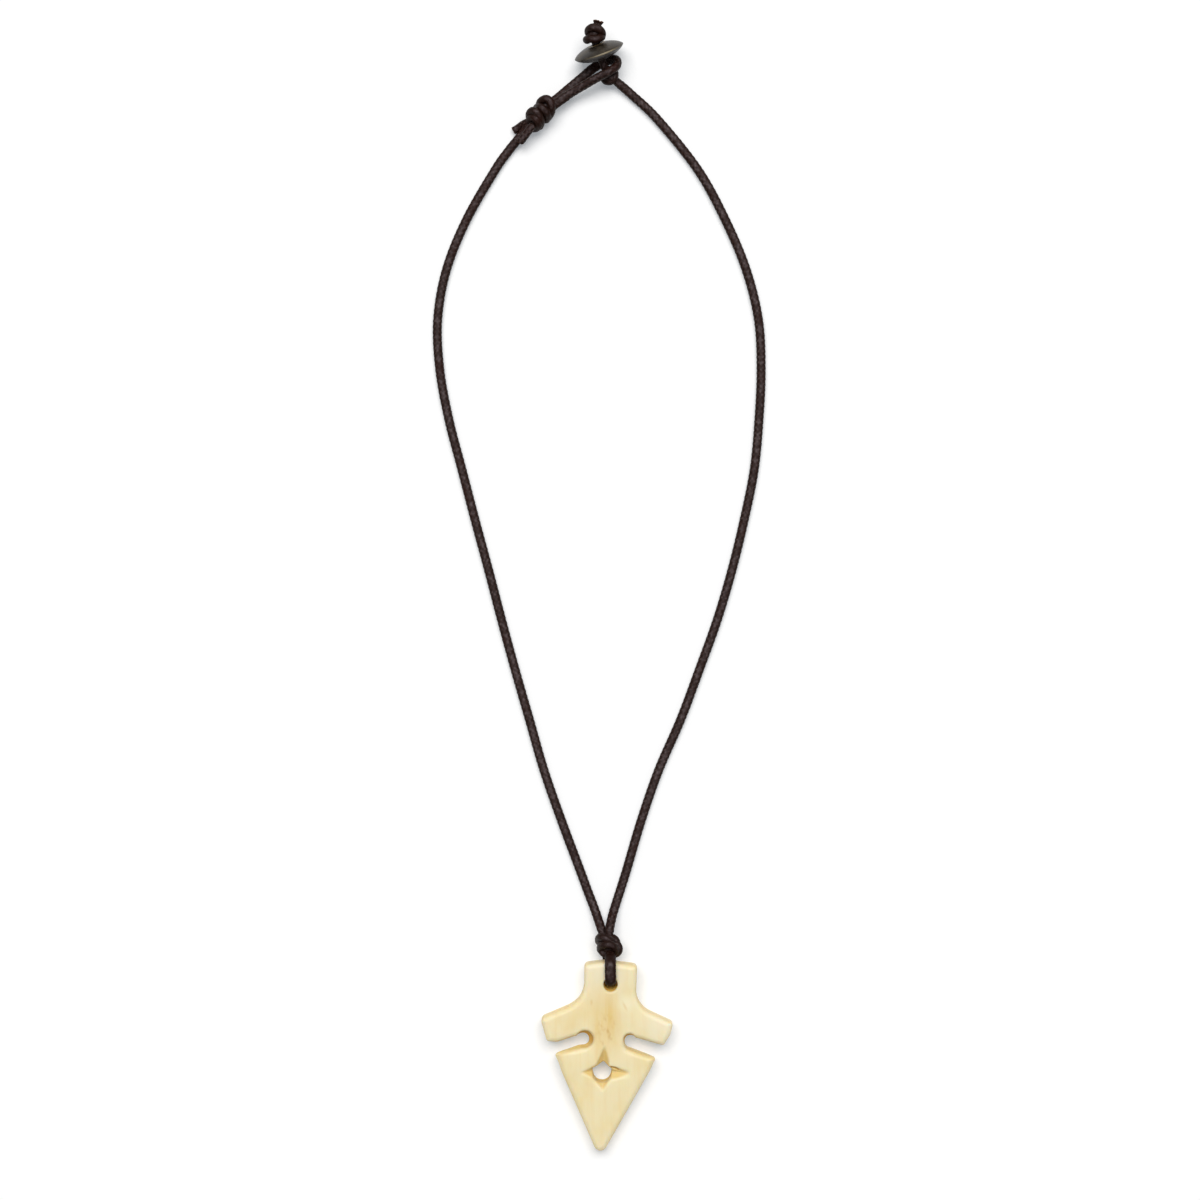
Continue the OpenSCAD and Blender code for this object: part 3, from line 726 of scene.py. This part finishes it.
# %% Surface nets
def surface_nets(shape, low, high, cell):
    """Vertices and quads on the zero level of a distance between two corners."""
    axes = [np.arange(a, b, cell) for a, b in zip(low, high)]
    x, y, z = np.meshgrid(*axes, indexing="ij", sparse=True)
    value = shape(x, y, z)
    inside = value < 0
    size = np.array(value.shape) - 1
    offsets = list(product((0, 1), repeat=3))
    window = [tuple(slice(o, o + n) for o, n in zip(offset, size)) for offset in offsets]
    count = sum(inside[w].astype(int) for w in window)
    mixed = (count > 0) & (count < 8)
    number = np.full(mixed.shape, -1)
    number[mixed] = np.arange(mixed.sum())
    total, crossings = np.zeros((mixed.sum(), 3)), np.zeros(mixed.sum())
    for i, p in enumerate(offsets):
        for j, q in enumerate(offsets):
            if j > i and sum(abs(a - b) for a, b in zip(p, q)) == 1:
                a, b = value[window[i]][mixed], value[window[j]][mixed]
                cut = (a < 0) != (b < 0)
                share = np.where(cut, a / np.where(cut, a - b, 1), 0)[:, None]
                total += cut[:, None] * (np.array(p) + share * (np.array(q) - np.array(p)))
                crossings += cut
    vertices = np.array(low) + (np.argwhere(mixed) + total / crossings[:, None]) * cell
    quads = []
    for k in range(3):
        u, v = (k + 1) % 3, (k + 2) % 3
        near = np.moveaxis(inside, (k, u, v), (0, 1, 2))
        cells = np.moveaxis(number, (k, u, v), (0, 1, 2))
        i, a, b = np.nonzero(near[:-1, 1:-1, 1:-1] != near[1:, 1:-1, 1:-1])
        ring = np.stack([cells[i, a, b], cells[i, a + 1, b], cells[i, a + 1, b + 1], cells[i, a, b + 1]], -1)
        quads.append(np.where(near[i, a + 1, b + 1][:, None], ring, ring[:, ::-1]))
    return vertices, np.vstack(quads)


def settled(shape, points, rounds=4, step=0.02):
    """Points moved onto the zero level: each round takes off the distance times the slope over its square."""
    for _ in range(rounds):
        value = shape(*points.T)
        slope = np.stack([shape(*(points + step * axis).T) - shape(*(points - step * axis).T)
                          for axis in np.eye(3)], -1)
        slope /= 2 * step
        move = value[:, None] * slope / np.clip((slope**2).sum(1), 0.05, None)[:, None]
        points = points - np.clip(move, -0.1, 0.1)
    return points


# %% Carving the plate
CELL = 0.18
low, high = (-15.9, -1.9, -0.5), (15.9, 44.9, PLATE_T + 0.6)
points, quads = surface_nets(bone, low, high, CELL)
points = settled(bone, points)
print("farthest vertex from the surface:", round(float(np.abs(bone(*points.T)).max()), 4), "mm")

# %% [markdown]
# ## Where the bone is darker
#
# Bone turns golden where fingers and polish do not reach: in the grooves, on the walls of the slots and in
# the bore. The same functions that carved the plate tell for each vertex how deep it lies in a cut, and the
# material reads it.

# %% Values for the bone's colour
x, y, z = points.T
deep = np.max([groove_depth(x, y, g) for g in star_grooves], axis=0)
deep = np.minimum(deep, PLATE_T - z)
in_flare = np.max([
    smooth_step((0.45 - flare(x, y, z, f)) / 0.5) * (1 - 0.7 * smooth_step((f[4] - 0.6 - y) / 1.2))
    for f in slot_flares], axis=0)
below = PLATE_T - z
edge_near = from_plate(x, y - saw_lean(x, y, z))
in_slot = (np.abs(x) > 3.2) * smooth_step(y - 20.3) * smooth_step(28.6 - y)
near_flare = smooth_step((11.2 - np.abs(x)) / 5.5)
on_wall = smooth_step((edge_near + 0.9) / 0.6) * smooth_step((below - 0.5) / 0.8)
lower_wall = (y < slot_middle(x)) * smooth_step((11.4 - np.abs(x)) / 1.5)
back_high, back_fade = np.where(x < 0, 1.5, 1), np.where(x < 0, 1.1, 0.5)
opened = np.min([-from_plate(x, y), from_hole(x, y), *(flare(x, y, 5, f) for f in slot_flares)], axis=0)
bone_values = {
    "groove": smooth_step(deep / 0.5),
    "slit": smooth_step((0.34 - from_slit(x, y)) / 0.25) * smooth_step((4.5 - z) / 0.4),
    "flare": in_flare * smooth_step((below - 0.35) / 0.8),
    "bore": smooth_step((0.4 - bore(x, y, z)) / 0.4) * smooth_step((below - 0.12) / 0.4),
    "hole_wall": smooth_step((0.35 - from_hole(x, y)) / 0.5) * smooth_step((below - 0.8) / 1.5),
    "slot_wall": in_slot * on_wall * (0.35 + 0.65 * near_flare) * np.where(x < 0, 1, 0.6),
    "back_edge": in_slot * on_wall * lower_wall * smooth_step((back_high - z) / back_fade),
    "side": on_wall * (1 - in_slot),
    "outline": smooth_step((from_plate(x, y) + 0.5) / 0.5) * smooth_step((z - 1.2) / 1),
    # rim: a band just inside the front's edges, painted paler as a highlight and glow
    "rim": np.exp(-((opened - 0.75) / 0.55) ** 2) * (z > PLATE_T / 2),
}
cut_parts = ("slot_wall", "back_edge", "flare", "bore", "hole_wall")
bone_values["cut"] = np.max([bone_values[part] for part in cut_parts], axis=0)
where = laid(points)
where[:, 2] -= where[:, 2].min()
plate = new_piece("bone_plate", where, quads, NO_TRIANGLES, bone_values)
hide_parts("pendant")

# %% [markdown]
# ## Materials
#
# Every finish is a small tree of nodes. A short helper adds a node and sets its sockets, so a tree reads from
# its source to the shader.

# %% Node helpers
def srgb(r, g, b):
    """A colour as a picture shows it, 0 to 255, as the linear colour that a shader takes."""
    c = np.array([r, g, b]) / 255
    return (*np.where(c <= 0.04045, c / 12.92, ((c + 0.055) / 1.055) ** 2.4).tolist(), 1.0)


class Finish:
    """A material's node tree with short ways to add to it."""

    def __init__(self, name):
        self.material = bpy.data.materials.new(name)
        self.material.use_nodes = True
        self.tree = self.material.node_tree
        self.shader = self.tree.nodes["Principled BSDF"]
        self.coordinates = self.add("ShaderNodeTexCoord")

    def add(self, kind, **settings):
        node = self.tree.nodes.new(kind)
        for key, value in settings.items():
            setattr(node, key, value)
        return node

    def join(self, source, target):
        self.tree.links.new(source, target)

    def attribute(self, name):
        return self.add("ShaderNodeAttribute", attribute_name=name).outputs["Fac"]

    def noise(self, stretch, scale, detail=3.0):
        """Noise on object coordinates. The stretch gives how fine it is along x, y and z."""
        mapping = self.add("ShaderNodeMapping")
        mapping.inputs["Scale"].default_value = stretch
        self.join(self.coordinates.outputs["Object"], mapping.inputs["Vector"])
        node = self.add("ShaderNodeTexNoise")
        node.inputs["Scale"].default_value = scale
        node.inputs["Detail"].default_value = detail
        node.inputs["Roughness"].default_value = 0.55
        self.join(mapping.outputs["Vector"], node.inputs["Vector"])
        return node.outputs["Fac"]

    def ramp(self, value, low, high, to_low=0.0, to_high=1.0):
        node = self.add("ShaderNodeMapRange", interpolation_type="SMOOTHSTEP")
        for key, number in (("From Min", low), ("From Max", high), ("To Min", to_low), ("To Max", to_high)):
            node.inputs[key].default_value = number
        self.join(value, node.inputs["Value"])
        return node.outputs["Result"]

    def times(self, a, b):
        node = self.add("ShaderNodeMath", operation="MULTIPLY")
        for value, socket in ((a, node.inputs[0]), (b, node.inputs[1])):
            if isinstance(value, (int, float)):
                socket.default_value = value
            else:
                self.join(value, socket)
        return node.outputs[0]

    def blend(self, under, over, share):
        """One colour over another, by a share from 0 to 1."""
        node = self.add("ShaderNodeMix", data_type="RGBA")
        sockets = {"Factor_Float": share, "A_Color": under, "B_Color": over}
        for socket in node.inputs:
            value = sockets.get(socket.identifier)
            if value is None:
                continue
            if isinstance(value, (tuple, float, int)):
                socket.default_value = value
            else:
                self.join(value, socket)
        return node.outputs[2]

    def bump(self, height, strength, distance):
        node = self.add("ShaderNodeBump")
        node.inputs["Strength"].default_value = strength
        node.inputs["Distance"].default_value = distance
        self.join(height, node.inputs["Height"])
        self.join(node.outputs["Normal"], self.shader.inputs["Normal"])

    def spot(self, centre, size, turn=0.0):
        """1 in the middle of a soft spot, 0 at its rim, turned about z. Lengths are in millimetres."""
        mapping = self.add("ShaderNodeMapping", vector_type="TEXTURE")
        mapping.inputs["Location"].default_value = [c * MM for c in centre]
        mapping.inputs["Rotation"].default_value = (0, 0, turn)
        mapping.inputs["Scale"].default_value = [c * MM for c in size]
        self.join(self.coordinates.outputs["Object"], mapping.inputs["Vector"])
        node = self.add("ShaderNodeTexGradient", gradient_type="SPHERICAL")
        self.join(mapping.outputs["Vector"], node.inputs["Vector"])
        return self.ramp(node.outputs["Fac"], 0, 1)


# %% [markdown]
# ### Polished bone
#
# Bone is cream with faint streaks that run along it, a warm stain down its middle, and small dark pits. Light
# goes a little way into it, so its edges glow, and its polish gives a soft gloss. A band just inside the
# front's edges is painted paler as a highlight and glow, and a pale patch on the right shoulder is a painted
# highlight. The streaks are noise stretched along y.

# %% Bone
ivory = Finish("polished_bone")
colour = srgb(243, 229, 186)
streaks = ivory.noise((1, 0.07, 0.3), 900, 4)
colour = ivory.blend(colour, srgb(238, 216, 160), ivory.ramp(streaks, 0.42, 0.75, 0, 0.5))
clouds = ivory.noise((1, 0.5, 1), 150, 3)
colour = ivory.blend(colour, srgb(236, 212, 146), ivory.ramp(clouds, 0.42, 0.72, 0, 0.6))
for place, reach in (((-1, -86.5, 5), 10), ((12.5, -98, 5), 7)):
    pale = ivory.spot(place, [reach] * 3)
    colour = ivory.blend(colour, srgb(246, 238, 212), ivory.times(pale, 0.7))
stain = ivory.times(ivory.spot((0, -97, 5), (5.4, 12.5, 12)),
                    ivory.ramp(ivory.noise((1, 0.12, 0.5), 420, 3), 0.3, 0.62, 0.4, 1))
colour = ivory.blend(colour, srgb(230, 196, 112), ivory.times(stain, 0.8))
pits = ivory.ramp(ivory.noise((1, 0.55, 1), 1050, 1), 0.46, 0.8)
pit_place = ivory.spot((-0.1, -99.5, 5), (4, 6, 9))
colour = ivory.blend(colour, srgb(206, 160, 84), ivory.times(pits, ivory.times(pit_place, 0.6)))
# A pale patch on the right shoulder is a painted highlight.
shoulder_painted_highlight = ivory.spot((4.8, -93.2, 5), (3.4, 3.4, 9))
colour = ivory.blend(colour, srgb(251, 242, 210), ivory.times(shoulder_painted_highlight, 0.75))
smears = (((-3.55, -93, 5), (0.5, 1.1, 9), 0), ((4.05, -93.9, 5), (0.5, 1.9, 9), np.radians(26)))
for place, size, turn in smears:
    smear = ivory.spot(place, size, turn)
    colour = ivory.blend(colour, srgb(224, 186, 104), ivory.times(smear, 0.42))
# The band just inside the front's edges is painted paler, as a highlight and glow.
colour = ivory.blend(colour, srgb(248, 238, 206), ivory.times(ivory.attribute("rim"), 0.12))
part_tones = {
    "side": ((232, 200, 130), 0.35), "outline": ((226, 196, 124), 0.4), "groove": ((230, 196, 110), 0.68),
    "slot_wall": ((248, 222, 148), 0.9), "back_edge": ((204, 146, 70), 0.75),
    "hole_wall": ((232, 198, 124), 0.75), "flare": ((220, 172, 84), 0.88),
    "slit": ((196, 146, 44), 0.85), "bore": ((244, 196, 92), 0.95),
}
for part, (tone, share) in part_tones.items():
    colour = ivory.blend(colour, srgb(*tone), ivory.times(ivory.attribute(part), share))
ivory.join(colour, ivory.shader.inputs["Base Color"])
polish = ivory.noise((1, 0.3, 1), 700, 3)
ivory.join(ivory.ramp(polish, 0.3, 0.7, 0.42, 0.54), ivory.shader.inputs["Roughness"])
ivory.shader.inputs["Subsurface Weight"].default_value = 0.38
ivory.shader.inputs["Subsurface Radius"].default_value = (1.0, 0.7, 0.36)
ivory.shader.inputs["Subsurface Scale"].default_value = 1.3 * MM
ivory.shader.inputs["IOR"].default_value = 1.44
ivory.bump(ivory.noise((1, 0.25, 1), 1100, 3), 0.06, 0.05 * MM)

# %% Sawn bone
# The walls that a saw or a drill left are the same bone without the polish, so it is a copy whose gloss is
# taken off.
sawn = ivory.material.copy()
sawn.name = "sawn_bone"
sawn.node_tree.nodes["Principled BSDF"].inputs["Specular IOR Level"].default_value = 0.0
plate.data.materials.append(ivory.material)
plate.data.materials.append(sawn)
corners = np.empty(len(plate.data.loops), int)
plate.data.loops.foreach_get("vertex_index", corners)
is_sawn = bone_values["cut"][corners].reshape(-1, 4).mean(1) > 0.6
plate.data.polygons.foreach_set("material_index", is_sawn.astype(np.int32))
print("sawn faces:", int(is_sawn.sum()))

# %% [markdown]
# ### Waxed cord
#
# The cotton is dyed a brown that is nearly black. Wax fills the braid's valleys, and on the ridges it is
# rubbed to a dull gloss. The grey flecks along the cord are partly that rubbed wax and partly a painted
# highlight. The paler lane on the side that lies uppermost is a painted highlight, and so is a grey patch on
# the bight over the tab. The mesh carries how high each point lies in the braid, and how far it faces up.

# %% Cord
waxed = Finish("waxed_cord")
ridge = waxed.attribute("ridge")
rubbed_wax_and_sheen = waxed.ramp(waxed.noise((1, 1, 1), 900, 3), 0.38, 0.7)
colour = waxed.blend(srgb(26, 13, 9), srgb(46, 27, 20), waxed.ramp(ridge, 0.3, 1.0))
# Grey flecks on the braid's ridges: partly rubbed wax, partly a painted highlight.
colour = waxed.blend(colour, srgb(96, 80, 76), waxed.times(rubbed_wax_and_sheen, waxed.ramp(ridge, 0.66, 1.0, 0, 0.7)))
# The paler lane on each cord's uppermost side is a painted highlight.
upper_painted_highlight = waxed.times(waxed.ramp(waxed.attribute("top"), 0.76, 0.97), waxed.ramp(rubbed_wax_and_sheen, 0, 1, 0.25, 1))
colour = waxed.blend(colour, srgb(92, 80, 81), waxed.times(upper_painted_highlight, 0.6))
colour = waxed.blend(colour, srgb(46, 21, 14), waxed.ramp(waxed.noise((1, 1, 1), 260, 2), 0.52, 0.75, 0, 0.5))
colour = waxed.blend(colour, srgb(112, 66, 28), waxed.times(waxed.attribute("tip"), 0.75))
# A grey patch on the bight over the tab is a painted highlight.
bight_painted_highlight = waxed.times(waxed.spot((0.4, -85.2, 6.6), (1.5, 2.7, 5)),
                    waxed.ramp(waxed.noise((1, 0.7, 1), 1000, 2), 0.38, 0.58))
colour = waxed.blend(colour, srgb(122, 110, 108), waxed.times(bight_painted_highlight, 0.85))
waxed.join(colour, waxed.shader.inputs["Base Color"])
waxed.join(waxed.ramp(rubbed_wax_and_sheen, 0, 1, 0.5, 0.32), waxed.shader.inputs["Roughness"])
waxed.shader.inputs["IOR"].default_value = 1.19
waxed.bump(waxed.noise((1, 1, 1), 5000, 3), 0.25, 0.03 * MM)
for piece in [*strands.values(), *knots.values(), loop, bight, neck]:
    piece.data.materials.append(waxed.material)

# %% [markdown]
# ### Dark horn
#
# Horn is made of thin layers, so a turned bead shows faint bands. It is grey-brown, a little clear, satin on
# its domes, and paler where the edge of its flat is worn. The pale line on the upper side of its rim is partly
# wear and partly a painted highlight. Its face towards the loop, which faces down, and the inside of its hole
# are painted darker as shade.

# %% Horn
horn = Finish("dark_horn")
from_axis = horn.attribute("from_axis")
toward = horn.attribute("toward_stopper")
layers = horn.noise((1, 1, 1), 420, 3)
worn_and_highlit = horn.attribute("worn_and_highlit")
colour = horn.blend(srgb(32, 27, 21), srgb(64, 56, 44), horn.ramp(layers, 0.35, 0.7))
# The face towards the loop, which faces down, is painted darker as shade.
colour = horn.blend(colour, srgb(22, 14, 9), horn.ramp(toward, 0.02, -0.3, 0, 0.9))
# The pale line on the upper side of the rim is partly wear and partly a painted highlight.
rim_wear_and_highlight = horn.times(horn.ramp(from_axis, 0.972, 0.995), worn_and_highlit)
colour = horn.blend(colour, srgb(160, 146, 116), horn.times(rim_wear_and_highlight, 0.8))
edge_of_flat = horn.times(horn.ramp(from_axis, 0.27, 0.3), horn.ramp(from_axis, 0.375, 0.335))
worn_edge = horn.times(edge_of_flat, horn.ramp(layers, 0.3, 0.6, 0.6, 0.95))
colour = horn.blend(colour, srgb(168, 140, 90), worn_edge)
# The inside of the hole is painted darker as shade.
colour = horn.blend(colour, srgb(40, 30, 22), horn.ramp(from_axis, 0.24, 0.21, 0, 0.8))
horn.join(colour, horn.shader.inputs["Base Color"])
horn.join(horn.ramp(layers, 0.3, 0.7, 0.36, 0.46), horn.shader.inputs["Roughness"])
horn.shader.inputs["Subsurface Weight"].default_value = 0.05
horn.shader.inputs["Subsurface Radius"].default_value = (1.0, 0.7, 0.4)
horn.shader.inputs["Subsurface Scale"].default_value = 0.8 * MM
horn.shader.inputs["IOR"].default_value = 1.42
horn.bump(horn.noise((1, 1, 1), 2200, 3), 0.1, 0.04 * MM)
bead.data.materials.append(horn.material)

# %% [markdown]

# %% [markdown]
# ## The surface and the light
#
# The necklace lies on plain white paper that glows a little, as a light table does. One wide soft light hangs
# over the top of the page, in an even white room, so the shadows are short and soft and lie beside and below
# each part. Near the bone the paper is cooler, which makes up for the warm light that the bone's walls send
# down to it.

# %% Floor
floor_mesh = bpy.data.meshes.new("floor")
floor_mesh.from_pydata([(-2, -2, 0), (2, -2, 0), (2, 2, 0), (-2, 2, 0)], [], [(0, 1, 2, 3)])
floor = bpy.data.objects.new("floor", floor_mesh)
bpy.context.scene.collection.objects.link(floor)
white = Finish("white_floor")
near_bone = white.ramp(white.spot((-0.4, -103.5, 0), (24, 24, 9)), 0, 0.5)
floor_colours = {
    "Base Color": ((0.82, 0.8, 0.78, 1), (0.9, 0.83, 0.765, 1)),
    "Emission Color": ((0.21, 0.23, 0.25, 1), (0.125, 0.195, 0.265, 1)),
}
for socket, (far_colour, near_colour) in floor_colours.items():
    white.join(white.blend(far_colour, near_colour, near_bone), white.shader.inputs[socket])
white.shader.inputs["Roughness"].default_value = 0.9
white.shader.inputs["Specular IOR Level"].default_value = 0.0
white.shader.inputs["Emission Strength"].default_value = 1.0
floor_mesh.materials.append(white.material)

# %% Light
def softbox(name, place, target, width, depth, watts):
    """A rectangular area light at a place that faces a target, both in metres."""
    lamp = bpy.data.lights.new(name, "AREA")
    lamp.shape = "RECTANGLE"
    lamp.size = width
    lamp.size_y = depth
    lamp.energy = watts
    box = bpy.data.objects.new(name, lamp)
    box.location = place
    aim = np.array(target) - np.array(place)
    box.rotation_mode = "QUATERNION"
    box.rotation_quaternion = Vector(aim.tolist()).to_track_quat("-Z", "Y")
    bpy.context.scene.collection.objects.link(box)


softbox("key", place=(-0.1, 1.9, 4.64), target=(0, 0, 0), width=4.4, depth=2.6, watts=236)
room = bpy.data.worlds.new("room")
room.use_nodes = True
room.node_tree.nodes["Background"].inputs["Color"].default_value = (1, 1, 1, 1)
room.node_tree.nodes["Background"].inputs["Strength"].default_value = 0.25
bpy.context.scene.world = room
bpy.context.scene.view_settings.view_transform = "Standard"
